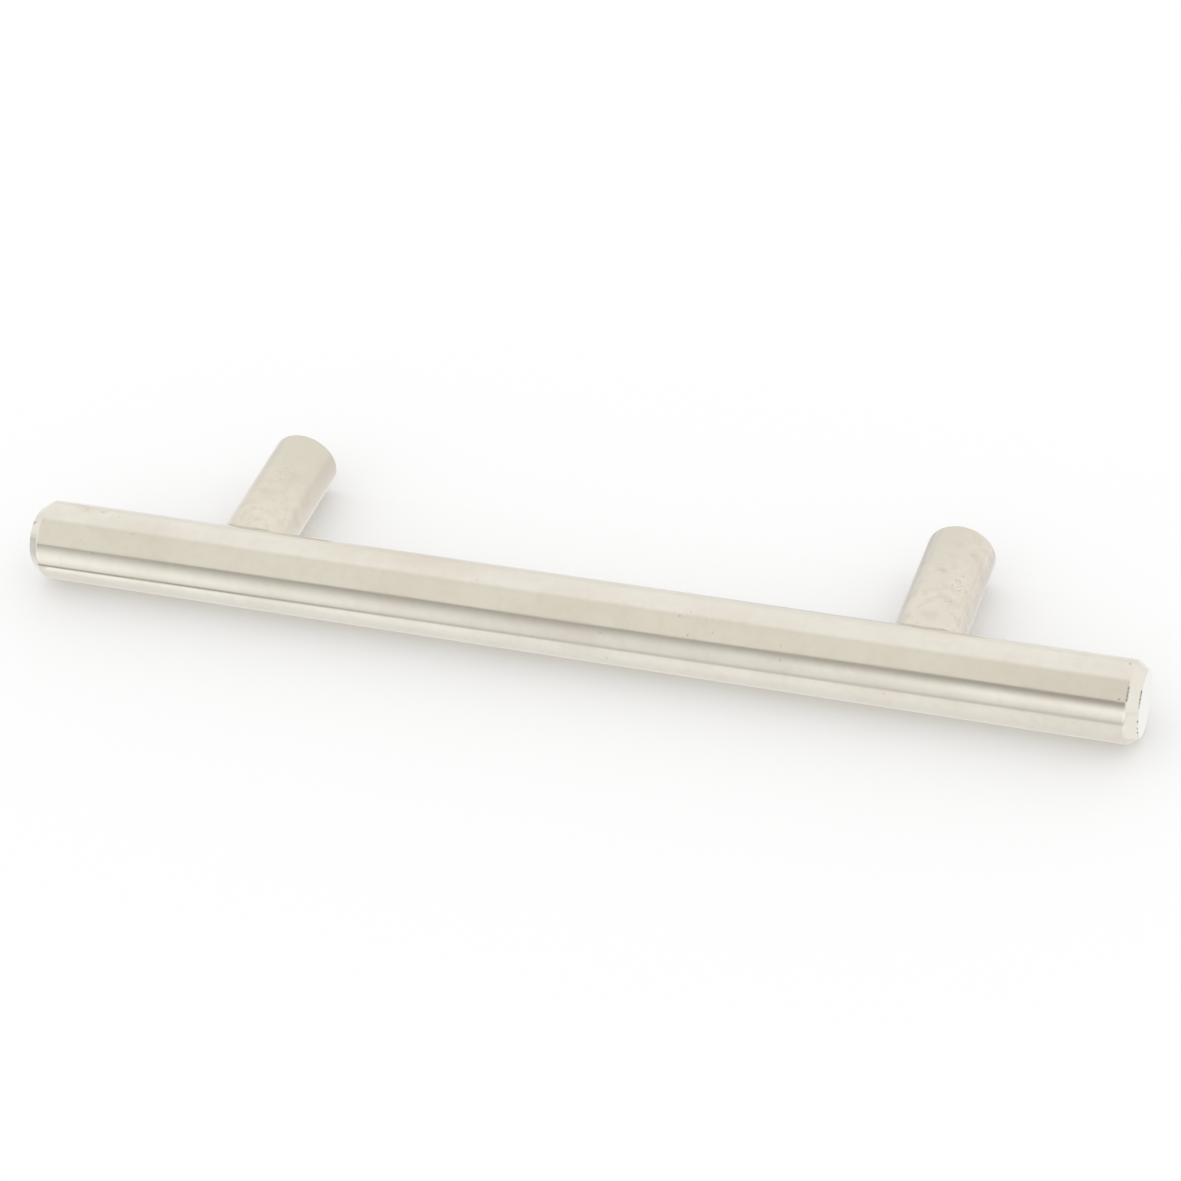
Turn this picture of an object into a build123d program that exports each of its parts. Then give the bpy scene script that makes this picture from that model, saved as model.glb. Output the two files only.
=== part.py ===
from build123d import *

import os
from math import radians, tan

# A T bar cabinet pull: a solid round bar stands off the door on two round posts. Each post is
# drawn into a flat-bottomed socket in the back of the bar by a threaded stud that doesn't show.
# The bar lies along X, the posts run along +Y to the door, and Z is up. The origin is on the
# door's face, midway between the two fixing screws. Sizes are in millimetres, angles in degrees.

# The bar
bar_length = 156.0
bar_diameter = 11.0
bar_chamfer_length = 1.6  # along the bar
bar_chamfer_depth = 1.1  # towards the bar's axis
bar_edge_radius = 0.15  # where polishing has eased the two rims of each end chamfer

# The posts
hole_spacing = 96.0  # between the centres of the two fixing screws
projection = 30.0  # from the door to the front of the bar
post_diameter = 9.4
foot_chamfer = 0.3
seat_chamfer = 0.2  # round the end that enters the bar

# The sockets in the bar
socket_depth = 3.0  # from the crown of the bar's back down to the flat floor
socket_clearance = 0.03  # all round the post

# The tapped holes, whose walls lie at the thread's full diameter
screw_thread_diameter = 4.0
screw_thread_pitch = 0.7
screw_thread_depth = 10.0  # in the foot, for the fixing screw that comes through the door
countersink = 0.3  # taken off the mouth of each hole, all round
tap_lead = 0.8  # past the last full thread, where the tap's taper runs the thread out
drill_point_angle = 118.0

# The joining studs
stud_thread_diameter = 5.0
stud_thread_pitch = 0.8
stud_length = 10.0
stud_in_bar = 4.0
stud_end_gap = 0.5  # of thread left over past each end of the stud
stud_clearance = 0.04  # all round, between the stud and the wall of its hole
stud_chamfer = 0.5
hex_key = 2.5  # across the flats
hex_key_depth = 2.5

# Worked out from the sizes above
bar_radius = bar_diameter / 2
bar_axis_y = bar_radius - projection
socket_floor_y = bar_axis_y + bar_radius - socket_depth
post_radius = post_diameter / 2
post_length = -socket_floor_y
stud_radius = stud_thread_diameter / 2 - stud_clearance


def turned(*outline):
    """A solid turned about Z, from the (radius, height) points of half its section."""
    return revolve(Plane.XZ * make_face(Polyline(*outline, close=True)), Axis.Z)


def facing_door(x, y):
    """A place on the axis of a post, with its local Z pointing at the door."""
    return Location(Plane(origin=(x, y, 0), x_dir=(1, 0, 0), z_dir=(0, 1, 0)))


def tapped_hole(diameter, pitch, depth):
    """The space of a countersunk, drilled and tapped hole that goes down from the origin."""
    thread_radius = diameter / 2
    drill_radius = (diameter - pitch) / 2
    drill_depth = depth + tap_lead
    point_length = drill_radius / tan(radians(drill_point_angle / 2))
    return turned(
        (0, 0),
        (thread_radius + countersink, 0),
        (thread_radius, -countersink),
        (thread_radius, -depth),
        (drill_radius, -drill_depth),
        (0, -drill_depth - point_length),
    )


def stud_hole(stud_depth):
    """The tapped hole for the stretch of a joining stud that goes in this deep."""
    return tapped_hole(stud_thread_diameter, stud_thread_pitch, stud_depth + stud_end_gap)


def make_bar():
    """The round bar, with both ends chamfered and a socket in its back for each post."""
    end_x = bar_length / 2
    face_radius = bar_radius - bar_chamfer_depth
    half_section = make_face(
        Polyline(
            (-end_x, 0),
            (-end_x, face_radius),
            (bar_chamfer_length - end_x, bar_radius),
            (end_x - bar_chamfer_length, bar_radius),
            (end_x, face_radius),
            (end_x, 0),
            close=True,
        )
    )
    rims = half_section.vertices().filter_by(lambda corner: corner.Y > 0)
    bar = Pos(0, bar_axis_y, 0) * revolve(fillet(rims, bar_edge_radius), Axis.X)
    # The cutter stands on the socket's floor and is tall enough to come out of the bar's back.
    socket = Cylinder(
        post_radius + socket_clearance,
        bar_diameter,
        align=(Align.CENTER, Align.CENTER, Align.MIN),
    )
    for x in (-hole_spacing / 2, hole_spacing / 2):
        bar -= facing_door(x, socket_floor_y) * (socket + stud_hole(stud_in_bar))
    return bar


def make_post():
    """A post, turned about Z, with its foot at the origin and its seat below it."""
    post = turned(
        (0, 0),
        (post_radius - foot_chamfer, 0),
        (post_radius, -foot_chamfer),
        (post_radius, seat_chamfer - post_length),
        (post_radius - seat_chamfer, -post_length),
        (0, -post_length),
    )
    screw_hole = tapped_hole(screw_thread_diameter, screw_thread_pitch, screw_thread_depth)
    seat = Pos(0, 0, -post_length) * Rot(180, 0, 0)
    return post - screw_hole - seat * stud_hole(stud_length - stud_in_bar)


def make_joining_stud():
    """A headless screw that stands on the origin, with the socket for its key on top."""
    stud = turned(
        (0, 0),
        (stud_radius - stud_chamfer, 0),
        (stud_radius, stud_chamfer),
        (stud_radius, stud_length - stud_chamfer),
        (stud_radius - stud_chamfer, stud_length),
        (0, stud_length),
    )
    hexagon = RegularPolygon(hex_key / 2, side_count=6, major_radius=False)
    return stud - Pos(0, 0, stud_length) * extrude(hexagon, -hex_key_depth)


nodes = {"bar": make_bar()}
for side, x in (("left", -hole_spacing / 2), ("right", hole_spacing / 2)):
    nodes[f"{side}_post"] = facing_door(x, 0) * make_post()
    nodes[f"{side}_joining_stud"] = facing_door(x, socket_floor_y - stud_in_bar) * make_joining_stud()

os.makedirs("parts", exist_ok=True)
for name, node in nodes.items():
    node.label = name
    export_step(node, f"parts/{name}.step")
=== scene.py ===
import logging
from dataclasses import dataclass
from enum import Enum

import bpy
import numpy as np
from mathutils import Matrix, Vector


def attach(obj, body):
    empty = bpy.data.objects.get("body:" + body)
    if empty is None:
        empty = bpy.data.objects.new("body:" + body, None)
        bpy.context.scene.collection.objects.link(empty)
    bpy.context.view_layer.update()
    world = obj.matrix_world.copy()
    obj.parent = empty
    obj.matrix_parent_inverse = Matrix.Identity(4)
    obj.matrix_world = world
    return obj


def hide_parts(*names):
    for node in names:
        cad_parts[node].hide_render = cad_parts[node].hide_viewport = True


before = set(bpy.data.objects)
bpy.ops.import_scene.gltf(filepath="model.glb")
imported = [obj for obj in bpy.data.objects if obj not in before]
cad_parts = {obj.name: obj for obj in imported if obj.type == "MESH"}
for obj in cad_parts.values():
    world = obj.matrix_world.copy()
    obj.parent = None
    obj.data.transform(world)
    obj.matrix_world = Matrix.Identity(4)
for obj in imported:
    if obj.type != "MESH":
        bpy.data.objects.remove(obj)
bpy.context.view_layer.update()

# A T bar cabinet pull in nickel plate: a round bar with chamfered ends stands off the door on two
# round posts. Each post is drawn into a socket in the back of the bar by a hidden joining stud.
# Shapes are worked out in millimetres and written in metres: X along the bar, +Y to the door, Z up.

LOG = logging.getLogger("cabinet_pull")
MM = 0.001
TURN = 2 * np.pi
COLUMNS = 144  # round each turned piece; a multiple of 12 puts a hexagon's corners on columns
ROUND = np.arange(COLUMNS) * TURN / COLUMNS  # the angle of each column
BAR_RADIUS = 5.5
BAR_AXIS_Y = -24.5
SOCKET_FLOOR_Y = -22.0
FLOOR_Z = -BAR_RADIUS  # the pull lies on its side, on the bar
EVERYWHERE = 60.0  # a mark's reach, past every piece
COLOUR_A, COLOUR_B, COLOUR_OUT = 6, 7, 2  # sockets of the Mix node when it mixes colours


class Side(Enum):
    """The two ends of the pull, by the X of the post there."""

    LEFT = -48.0
    RIGHT = 48.0

    @property
    def label(self) -> str:
        """The side as the frame's node names begin with it."""
        return self.name.lower()


def linear(colour: str) -> tuple[float, float, float, float]:
    """Turns an sRGB hex colour to the linear one that a shader takes.

    Args:
        colour: six hex digits after a hash.

    Returns:
        Red, green and blue from 0 to 1, and an alpha of 1.
    """
    coded = np.array([int(colour[i:i + 2], 16) for i in (1, 3, 5)]) / 255
    plain = np.where(coded <= 0.04045, coded / 12.92, ((coded + 0.055) / 1.055) ** 2.4)
    return (*plain.tolist(), 1.0)


def add_node(
    tree: bpy.types.NodeTree, kind: str, inputs: dict | None = None, **settings: object
) -> bpy.types.Node:
    """Adds a node with its settings and links.

    Args:
        tree: the node tree that gets the node.
        kind: the type of node.
        inputs: for each socket name or number, its value or the output socket linked to it.
        settings: the node's own properties.

    Returns:
        The new node.
    """
    node = tree.nodes.new(kind)
    for name, value in settings.items():
        setattr(node, name, value)
    for key, value in (inputs or {}).items():
        if isinstance(value, bpy.types.NodeSocket):
            tree.links.new(value, node.inputs[key])
        else:
            node.inputs[key].default_value = value
    return node


def blank_material(name: str) -> bpy.types.Material:
    """Makes a material whose node tree is empty.

    Args:
        name: the material's name.

    Returns:
        The new material.
    """
    material = bpy.data.materials.new(name)
    material.use_nodes = True
    material.node_tree.nodes.clear()
    return material


def put_in_scene(name: str, data: bpy.types.ID) -> bpy.types.Object:
    """Makes an object of a mesh or a camera, at the origin, and links it to the scene."""
    made = bpy.data.objects.new(name, data)
    bpy.context.scene.collection.objects.link(made)
    return made


def unit(vectors: np.ndarray) -> np.ndarray:
    """The vectors in the last axis, each divided by its length."""
    return vectors / np.linalg.norm(vectors, axis=-1, keepdims=True)


def smooth(share: np.ndarray) -> np.ndarray:
    """Eases a share from 0 to 1: three times its square less twice its cube, held at both ends."""
    share = np.clip(share, 0, 1)
    return share * share * (3 - 2 * share)


def eased_outline(
    corners: list[tuple[float, float]], eases: list[float], steps: int = 6
) -> tuple[np.ndarray, np.ndarray]:
    """Rounds the inner corners of an outline of (along, radius) points, metal on its right.

    Each corner becomes an arc that touches both of its sides, at the radius times the tangent of
    half the turn from the corner. The outward normal is the left of the direction of travel, and
    it swings from one side's to the next side's in equal steps over the arc.

    Args:
        corners: the outline's points.
        eases: the arc's radius at each point but the first and last.
        steps: rows on each arc.

    Returns:
        The rounded outline's points and their normals, one row each.
    """
    points = np.array(corners, float)
    sides = unit(np.diff(points, axis=0))
    before, after, ease = sides[:-1], sides[1:], np.array(eases, float)[:, None]
    cross = before[:, 0] * after[:, 1] - before[:, 1] * after[:, 0]
    swing = np.arctan2(cross, np.sum(before * after, axis=1))[:, None]
    left = np.stack((-sides[:, 1], sides[:, 0]), axis=1)
    convex = -np.sign(swing)
    centres = points[1:-1] - before * ease * np.tan(abs(swing) / 2) - convex * ease * left[:-1]
    angle = swing * np.linspace(0, 1, steps)
    first = left[:-1, None, :]
    normals = np.stack(
        (
            first[..., 0] * np.cos(angle) - first[..., 1] * np.sin(angle),
            first[..., 0] * np.sin(angle) + first[..., 1] * np.cos(angle),
        ),
        axis=2,
    )
    arcs = centres[:, None, :] + (convex * ease)[:, None, :] * normals
    return (
        np.concatenate((points[:1], arcs.reshape(-1, 2), points[-1:])),
        np.concatenate((left[:1], normals.reshape(-1, 2), left[-1:])),
    )


@dataclass
class Grid:
    """A surface as rows and columns of points, in millimetres, with the outward normal at each."""

    points: np.ndarray
    normals: np.ndarray
    wraps: bool = True  # the last column joins the first
    faceted: bool = False  # each face is shaded flat


@dataclass(frozen=True)
class Stance:
    """Where a turned form stands: a point on its axis, the axis, and two directions across it."""

    origin: tuple[float, float, float]
    along: tuple[float, float, float]
    first: tuple[float, float, float]
    second: tuple[float, float, float]

    def place(self, along: np.ndarray, radius: np.ndarray, angle: np.ndarray) -> np.ndarray:
        """Finds the points at a distance along the axis, a radius and an angle round it.

        The point is the origin, plus the distance times the axis, plus the radius times the sum of
        the first direction times the cosine and the second times the sine of the angle.

        Args:
            along: distances along the axis.
            radius: distances from the axis.
            angle: angles round the axis, from the first direction towards the second.

        Returns:
            The points, with X, Y and Z in the last axis.
        """
        along, radius, angle = np.broadcast_arrays(along, radius, angle)
        across = (
            np.cos(angle)[..., None] * np.array(self.first)
            + np.sin(angle)[..., None] * np.array(self.second)
        )
        on_axis = np.array(self.origin) + along[..., None] * np.array(self.along)
        return on_axis + radius[..., None] * across

    def aim(self, along: np.ndarray, radius: np.ndarray, angle: np.ndarray) -> np.ndarray:
        """Finds the directions that lead so far along the axis and so far out at the angle."""
        return self.place(along, radius, angle) - np.array(self.origin)

    def even(
        self,
        along: np.ndarray,
        radius: np.ndarray,
        angle: np.ndarray,
        normal: np.ndarray,
        faceted: bool = False,
    ) -> Grid:
        """Makes a surface whose normals are the same in each row.

        Args:
            along: distances along the axis.
            radius: distances from the axis.
            angle: the angle of each column.
            normal: one outward normal, or one for each column.
            faceted: whether each face is shaded flat.

        Returns:
            The surface.
        """
        points = self.place(along, radius, angle)
        return Grid(points, np.broadcast_to(normal, points.shape), faceted=faceted)

    def turned(self, outline: tuple[np.ndarray, np.ndarray], angle: np.ndarray) -> Grid:
        """Turns an outline round the axis.

        Args:
            outline: its points and normals, as (along, radius) rows.
            angle: the angle of each column.

        Returns:
            The surface.
        """
        points, normals = outline
        return Grid(
            self.place(points[:, :1], points[:, 1:], angle),
            self.aim(normals[:, :1], normals[:, 1:], angle),
        )

    def shaped(self, along: np.ndarray, radius: np.ndarray, angle: np.ndarray, outward: int) -> Grid:
        """Makes a surface whose radius changes along the axis and round it.

        The normal is the direction out from the axis, less the axis times the radius's slope along
        it, less the direction round the axis times the radius's slope round it.

        Args:
            along: the distance of each row along the axis.
            radius: the radius at each row and column.
            angle: the angle of each column.
            outward: 1 where the metal is inside the surface, -1 in a bore.

        Returns:
            The surface.
        """
        pole = 0.05  # the least radius in mm that a slope round the axis is divided by
        slope = np.gradient(radius, along, axis=0)
        padded = np.concatenate((radius[:, -1:], radius, radius[:, :1]), axis=1)
        step = np.concatenate(([angle[-1] - TURN], angle, [angle[0] + TURN]))
        sideways = np.gradient(padded, step, axis=1)[:, 1:-1] / np.maximum(radius, pole)
        out = self.aim(-slope, np.ones_like(radius), angle)
        around = self.aim(np.zeros_like(radius), sideways, angle + TURN / 4)
        return Grid(self.place(along[:, None], radius, angle), outward * unit(out - around))


class Shell:
    """One closed skin, made of grids that are welded where they meet."""

    def __init__(self) -> None:
        """Starts an empty skin."""
        self.grids: list[Grid] = []

    def add(self, *grids: Grid) -> None:
        """Adds grids to the skin."""
        self.grids.extend(grids)

    def corners(self) -> tuple[np.ndarray, np.ndarray, np.ndarray]:
        """Cuts all the grids into four-sided faces that point outwards.

        A face's own direction is the cross product of its diagonals. Where that disagrees with the
        mean of its normals, its corners are taken in the other order.

        Returns:
            All points, the four point numbers of each face, and the normal at each of its corners.
        """
        points, faces, normals, start = [], [], [], 0
        for grid in self.grids:
            rows, columns = grid.points.shape[:2]
            number = start + np.arange(rows * columns).reshape(rows, columns)
            if grid.wraps:
                number = np.concatenate((number, number[:, :1]), axis=1)
            quads = np.stack(
                (number[:-1, :-1], number[:-1, 1:], number[1:, 1:], number[1:, :-1]), axis=-1
            ).reshape(-1, 4)
            flat_points, flat_normals = grid.points.reshape(-1, 3), grid.normals.reshape(-1, 3)
            at = flat_points[quads - start]
            own = np.cross(at[:, 2] - at[:, 0], at[:, 3] - at[:, 1])
            given = flat_normals[quads - start]
            turned = np.sum(own * given.mean(axis=1), axis=1) < 0
            quads[turned], given[turned] = quads[turned][:, ::-1], given[turned][:, ::-1]
            if grid.faceted:
                own = np.where(turned[:, None], -own, own)
                size = np.linalg.norm(own, axis=1, keepdims=True)
                given = np.repeat((own / np.maximum(size, 1e-12))[:, None, :], 4, axis=1)
            points.append(flat_points)
            faces.append(quads)
            normals.append(given)
            start += rows * columns
        return np.concatenate(points), np.concatenate(faces), np.concatenate(normals)

    def piece(self, name: str, material: bpy.types.Material) -> bpy.types.Object:
        """Welds the grids and makes the object.

        Points that agree to a hundred-thousandth of a millimetre become one. A face that loses a
        corner that way, as at a pole, becomes a triangle, and one that loses two goes.

        Args:
            name: the object's name.
            material: its material.

        Returns:
            The object, at the origin, with its place in its mesh.
        """
        points, faces, normals = self.corners()
        _, first, welded = np.unique(
            np.round(points, 5), axis=0, return_index=True, return_inverse=True
        )
        faces = welded.reshape(-1)[faces]
        kept = faces != np.roll(faces, -1, axis=1)
        whole = kept.sum(axis=1) >= 3
        faces, normals, kept = faces[whole], normals[whole], kept[whole]
        corners, shading = faces[kept], unit(normals[kept])
        starts = np.concatenate(([0], np.cumsum(kept.sum(axis=1))[:-1]))
        mesh = bpy.data.meshes.new(name)
        mesh.vertices.add(len(first))
        mesh.vertices.foreach_set("co", (points[first] * MM).astype(np.float32).ravel())
        mesh.loops.add(len(corners))
        mesh.loops.foreach_set("vertex_index", corners.astype(np.int32))
        mesh.polygons.add(len(starts))
        mesh.polygons.foreach_set("loop_start", starts.astype(np.int32))
        mesh.update(calc_edges=True)
        mesh.polygons.foreach_set("use_smooth", np.ones(len(starts), bool))
        mesh.normals_split_custom_set(shading.tolist())
        mesh.validate()
        mesh.materials.append(material)
        return put_in_scene(name, mesh)


@dataclass(frozen=True)
class Thread:
    """A metric thread of the usual 60 degree form."""

    diameter: float
    pitch: float
    flank: float = 0.5413  # its height, in pitches

    def radius(self, along: np.ndarray, angle: np.ndarray) -> np.ndarray:
        """Finds the radius of the thread's flanks at a place on a right-hand helix.

        The turn is the distance divided by the pitch, less the angle in whole turns. How far it
        is from the middle of the flat at the full diameter runs from 0 to 1. That flat is the
        first eighth, the flat at the inner diameter the last quarter, and the flank lies between.

        Args:
            along: distances along the axis.
            angle: angles round it.

        Returns:
            The radius at each place.
        """
        turn = along / self.pitch - angle / TURN
        apart = abs(2 * (turn - np.floor(turn)) - 1)
        depth = np.clip((apart - 1 / 8) / (5 / 8), 0, 1)
        return self.diameter / 2 - self.flank * self.pitch * depth


@dataclass(frozen=True)
class TappedHole:
    """A countersunk, drilled and tapped hole."""

    thread: Thread
    depth: float
    countersink: float = 0.3
    lead: float = 0.8
    point_slope: float = 1.664  # of a 118 degree drill: the tangent of half of it

    def grid(self, stance: Stance, mouth: float, inward: int, angle: np.ndarray) -> Grid:
        """Makes the hole's wall, from its mouth to the tip of the drill's cone.

        The radius is the thread's, or the countersink's cone where that is wider. It is held below
        the taper that the tap leaves past its last full thread, and below the drill's cone.

        Args:
            stance: the axis of the hole.
            mouth: where the hole opens, along the axis.
            inward: 1 where the hole runs along the axis, -1 where it runs back.
            angle: the angle of each column.

        Returns:
            The wall.
        """
        full = self.thread.diameter / 2
        drill = full - self.thread.pitch / 2
        bottom = self.depth + self.lead + drill / self.point_slope
        rows = int(np.ceil(bottom / self.thread.pitch * 12)) + 1
        down = np.linspace(0, bottom, rows)
        along = mouth + inward * down
        radius = self.thread.radius(along[:, None], angle[None, :])
        taper = full - (full - drill) * (down - self.depth) / self.lead
        cone = (bottom - down) * self.point_slope
        radius = np.maximum(radius, (full + self.countersink - down)[:, None])
        radius = np.minimum(radius, np.minimum(np.maximum(taper, drill), cone)[:, None])
        return stance.shaped(along, radius, angle, -1)

    @property
    def mouth_radius(self) -> float:
        """The radius of the countersink's rim."""
        return self.thread.diameter / 2 + self.countersink


STUD_THREAD = Thread(diameter=5.0, pitch=0.8)
SCREW_THREAD = Thread(diameter=4.0, pitch=0.7)


@dataclass(frozen=True)
class Mark:
    """A place where the tone of a finish differs: a soft ellipsoid, strongest in its middle."""

    centre: tuple[float, float, float]
    reach: tuple[float, float, float]  # half its size along each axis, before its tilt
    strength: float = 1.0
    tilt: float = 0.0  # about X, in degrees, from +Y towards +Z
    solid: float = 0.0  # share of the reach that is at full strength


@dataclass(frozen=True)
class Layer:
    """A tone that lies over what is under it wherever one of its marks is."""

    tone: str
    marks: tuple[Mark, ...]
    wander: float = 0.0  # how far noise shifts the edges of the marks, in mm
    dulling: float = 0.0  # added to the roughness
    hollow: float = 0.0  # depth in mm
    speckle: float = 0.0  # spacing in mm of the pits that a mark is broken up into, or 0

    def amount(self, tree: bpy.types.NodeTree, spot: bpy.types.NodeSocket) -> bpy.types.NodeSocket:
        """Works out how strong the layer is at a spot.

        Each mark counts as its strength times one less the smooth step from its solid share to its
        edge of the distance from its middle, in reaches. The strongest mark counts.

        Args:
            tree: the node tree of the finish.
            spot: the place, in millimetres.

        Returns:
            The amount, from 0 to 1.
        """
        if self.wander:
            ragged = add_node(
                tree, "ShaderNodeTexNoise", {"Vector": spot, "Scale": 0.5 / self.wander, "Detail": 2.0}
            )
            shift = add_node(
                tree,
                "ShaderNodeVectorMath",
                {0: ragged.outputs["Color"], 1: (2 * self.wander,) * 3, 2: (-self.wander,) * 3},
                operation="MULTIPLY_ADD",
            )
            spot = add_node(
                tree, "ShaderNodeVectorMath", {0: spot, 1: shift.outputs[0]}, operation="ADD"
            ).outputs[0]
        most = None
        for mark in self.marks:
            local = add_node(
                tree,
                "ShaderNodeMapping",
                {0: spot, 1: mark.centre, 2: (np.radians(mark.tilt), 0.0, 0.0), 3: mark.reach},
                vector_type="TEXTURE",
            )
            apart = add_node(tree, "ShaderNodeVectorMath", {0: local.outputs[0]}, operation="LENGTH")
            share = add_node(
                tree,
                "ShaderNodeMapRange",
                {0: apart.outputs["Value"], 1: mark.solid, 2: 1.0, 3: mark.strength, 4: 0.0},
                interpolation_type="SMOOTHSTEP",
            ).outputs[0]
            if most is not None:
                share = add_node(
                    tree, "ShaderNodeMath", {0: most, 1: share}, operation="MAXIMUM"
                ).outputs[0]
            most = share
        if self.speckle:
            # Each cell holds one pit, whole out to 0.15 of the spacing and gone at 0.42 of it.
            cells = add_node(tree, "ShaderNodeTexVoronoi", {"Vector": spot, "Scale": 1 / self.speckle})
            broken = add_node(
                tree,
                "ShaderNodeMapRange",
                {0: cells.outputs["Distance"], 1: 0.15, 2: 0.42, 3: 1.0, 4: 0.0},
                interpolation_type="SMOOTHSTEP",
            )
            most = add_node(
                tree, "ShaderNodeMath", {0: most, 1: broken.outputs[0]}, operation="MULTIPLY"
            ).outputs[0]
        return most


@dataclass(frozen=True)
class BuffedNickel:
    """Bright nickel plate on turned brass, buffed on a soft wheel and then handled for years.

    Buffing leaves it clear but gently wavy, so mirrored edges are a little soft and uneven.
    Handling leaves cloudy stains, pits and knocks, and a bright layer paints a highlight on the rims.
    """

    name: str
    axis: tuple[float, float, float]  # a point on the axis that the piece was turned about
    across: tuple[float, float, float]  # 1 for the directions across that axis, 0 along it
    plate: str
    stain: str
    layers: tuple[Layer, ...]
    bore_radius: float = 0.0  # inside it the tap has cut through the plate
    brass: str = "#B3A688"
    brass_dulling: float = 0.2  # added to the roughness
    roughness: float = 0.125
    roughness_spread: float = 0.05  # from the clear plate to the middle of a cloud
    cloud_size: float = 8.0  # mm
    cloud_amount: float = 0.2
    mottle_size: float = 1.5  # mm
    mottle_amount: float = 0.15
    pit: str = "#6A5F52"
    pit_amount: float = 0.3
    pit_spacing: float = 2.8  # mm
    pit_radius: float = 0.17  # mm
    wave_size: float = 14.0  # mm
    wave_height: float = 0.05  # mm
    ring_pitch: float = 0.25  # mm; the tool's own marks are finer than the render can show
    ring_height: float = 0.0012  # mm

    def material(self) -> bpy.types.Material:
        """Makes the plate.

        The relief is a height in millimetres: slow waves from the wheel, rings by the distance
        from the turned axis, which show on faces and chamfers only, and the hollows of the layers.

        Returns:
            The material.
        """
        made = blank_material(self.name)
        tree = made.node_tree
        place = add_node(tree, "ShaderNodeTexCoord")
        spot = add_node(
            tree, "ShaderNodeMapping", {0: place.outputs["Object"], "Scale": (1 / MM,) * 3}
        ).outputs[0]
        noises = ((self.cloud_size, 2.5), (self.mottle_size, 2.0), (self.wave_size, 1.0))
        clouds, mottle, waves = (
            add_node(
                tree, "ShaderNodeTexNoise", {"Vector": spot, "Scale": 1 / size, "Detail": detail}
            ).outputs[0]
            for size, detail in noises
        )
        pits = add_node(
            tree, "ShaderNodeTexVoronoi", {"Vector": spot, "Scale": 1 / self.pit_spacing}
        ).outputs["Distance"]
        from_axis = add_node(
            tree, "ShaderNodeVectorMath", {0: spot, 1: self.axis}, operation="SUBTRACT"
        ).outputs[0]
        from_axis = add_node(
            tree, "ShaderNodeVectorMath", {0: from_axis, 1: self.across}, operation="MULTIPLY"
        ).outputs[0]
        radius = add_node(
            tree, "ShaderNodeVectorMath", {0: from_axis}, operation="LENGTH"
        ).outputs["Value"]
        relief = add_node(
            tree, "ShaderNodeMath", {0: waves, 1: self.wave_height}, operation="MULTIPLY"
        ).outputs[0]
        rings = add_node(
            tree,
            "ShaderNodeTexNoise",
            {"W": radius, "Scale": 1 / self.ring_pitch, "Detail": 1.0},
            noise_dimensions="1D",
        ).outputs[0]
        relief = add_node(
            tree, "ShaderNodeMath", {0: rings, 1: self.ring_height, 2: relief}, operation="MULTIPLY_ADD"
        ).outputs[0]

        # Each row carries a value smoothly from its first range to its second: cloudy stains a
        # few millimetres across, a finer mottle, scattered pits, the roughness, and the bore.
        pit_edge = self.pit_radius / self.pit_spacing
        ranges = [
            (clouds, 0.38, 0.66, 0.0, self.cloud_amount),
            (mottle, 0.42, 0.7, 0.0, self.mottle_amount),
            (pits, 0.3 * pit_edge, pit_edge, self.pit_amount, 0.0),
            (clouds, 0.3, 0.8, self.roughness, self.roughness + self.roughness_spread),
        ]
        if self.bore_radius:
            ranges.append((radius, self.bore_radius - 0.05, self.bore_radius + 0.02, 1.0, 0.0))
        stained, mottled, pitted, gloss, *bored = (
            add_node(
                tree, "ShaderNodeMapRange", dict(enumerate(row)), interpolation_type="SMOOTHSTEP"
            ).outputs[0]
            for row in ranges
        )

        # Each coat is an amount, a tone, what it adds to the roughness, and how deep it lies.
        coats = [
            (stained, self.stain, 0.0, 0.0),
            (mottled, self.stain, 0.0, 0.0),
            (pitted, self.pit, 0.0, 0.0),
        ]
        coats += [
            (layer.amount(tree, spot), layer.tone, layer.dulling, layer.hollow)
            for layer in self.layers
        ]
        coats += [(amount, self.brass, self.brass_dulling, 0.0) for amount in bored]
        colour = linear(self.plate)
        for amount, tone, dulling, hollow in coats:
            colour = add_node(
                tree,
                "ShaderNodeMix",
                {0: amount, COLOUR_A: colour, COLOUR_B: linear(tone)},
                data_type="RGBA",
            ).outputs[COLOUR_OUT]
            if dulling:
                gloss = add_node(
                    tree, "ShaderNodeMath", {0: amount, 1: dulling, 2: gloss}, operation="MULTIPLY_ADD"
                ).outputs[0]
            if hollow:
                relief = add_node(
                    tree, "ShaderNodeMath", {0: amount, 1: -hollow, 2: relief}, operation="MULTIPLY_ADD"
                ).outputs[0]
        bump = add_node(tree, "ShaderNodeBump", {"Height": relief, "Distance": MM, "Strength": 1.0})
        shader = add_node(
            tree,
            "ShaderNodeBsdfPrincipled",
            {"Base Color": colour, "Metallic": 1.0, "Roughness": gloss, "Normal": bump.outputs[0]},
        )
        add_node(tree, "ShaderNodeOutputMaterial", {0: shader.outputs[0]})
        return made


HIGHLIGHT_AND_SPECK_TONE = "#F6F3EB"  # a bright tone: a painted highlight on the bar's rims and right chamfer, and the posts' bright specks
FACE_TONE_AND_SHEEN = "#E8E7E3"  # the end faces: partly their own turned finish, partly a painted reflection that makes them paler and cooler
OXIDE = "#4A3F35"  # in knocks and pits that have gone through the plate


def rim_knock(x: float, radius: float, turn: float, length: float, strength: float) -> Mark:
    """A knock that runs along a rim of the bar.

    It lies at the angle above the front of the bar, and along the rim's tangent there.

    Args:
        x: the X of the rim.
        radius: the rim's radius.
        turn: the angle, in degrees.
        length: half of the knock's length.
        strength: how dark it is.

    Returns:
        The mark.
    """
    angle = np.radians(turn)
    spot = (x, BAR_AXIS_Y - radius * float(np.cos(angle)), radius * float(np.sin(angle)))
    return Mark(spot, (0.24, length, 0.24), strength, tilt=90 - turn, solid=0.2)


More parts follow.
